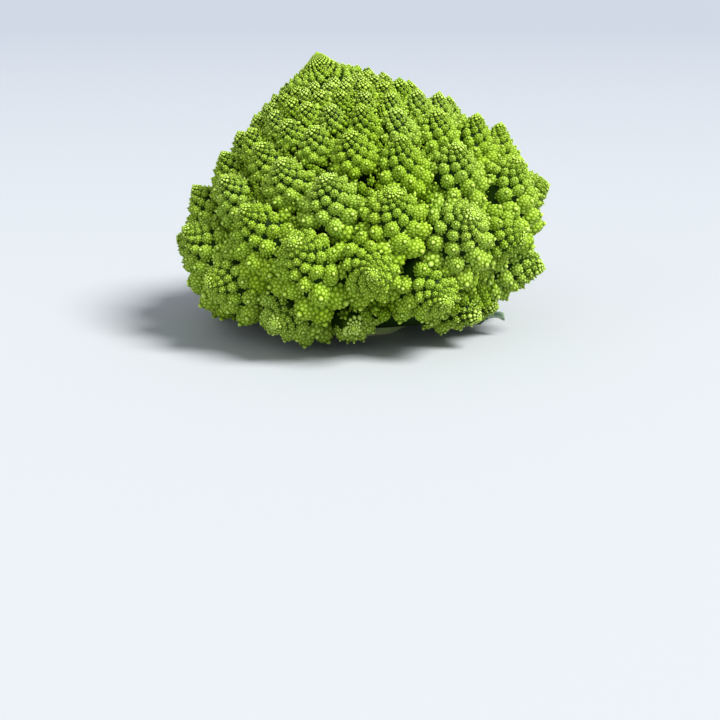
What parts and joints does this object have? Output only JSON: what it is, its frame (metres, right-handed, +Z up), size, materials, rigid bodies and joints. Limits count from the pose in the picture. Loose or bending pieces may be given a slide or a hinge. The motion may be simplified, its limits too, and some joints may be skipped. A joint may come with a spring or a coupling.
{
  "type": "romanesco head",
  "caption": "Cut romanesco head: a leaning cone of spiralling pointed florets and buds on a branched stalk with small leaves.",
  "frame": {"origin": "centre of the stalk's flat cut face", "axes": "+Z up along the stalk, the side that faces the viewer looks along -Y, +X to the viewer's right"},
  "size_m": [0.2127, 0.2178, 0.1505],
  "materials": {
    "curd": "waxy yellow-green buds with paler tips and dark crevices",
    "stalk": "pale green skin, moist whitish cut face",
    "leaf": "dark blue-green waxy blade with a pale midrib"
  },
  "bodies": {
    "root": {"curd": "curd", "stalk": "stalk", "leaf_right": "leaf", "leaf_back": "leaf", "leaf_left": "leaf"}
  },
  "joints": []
}
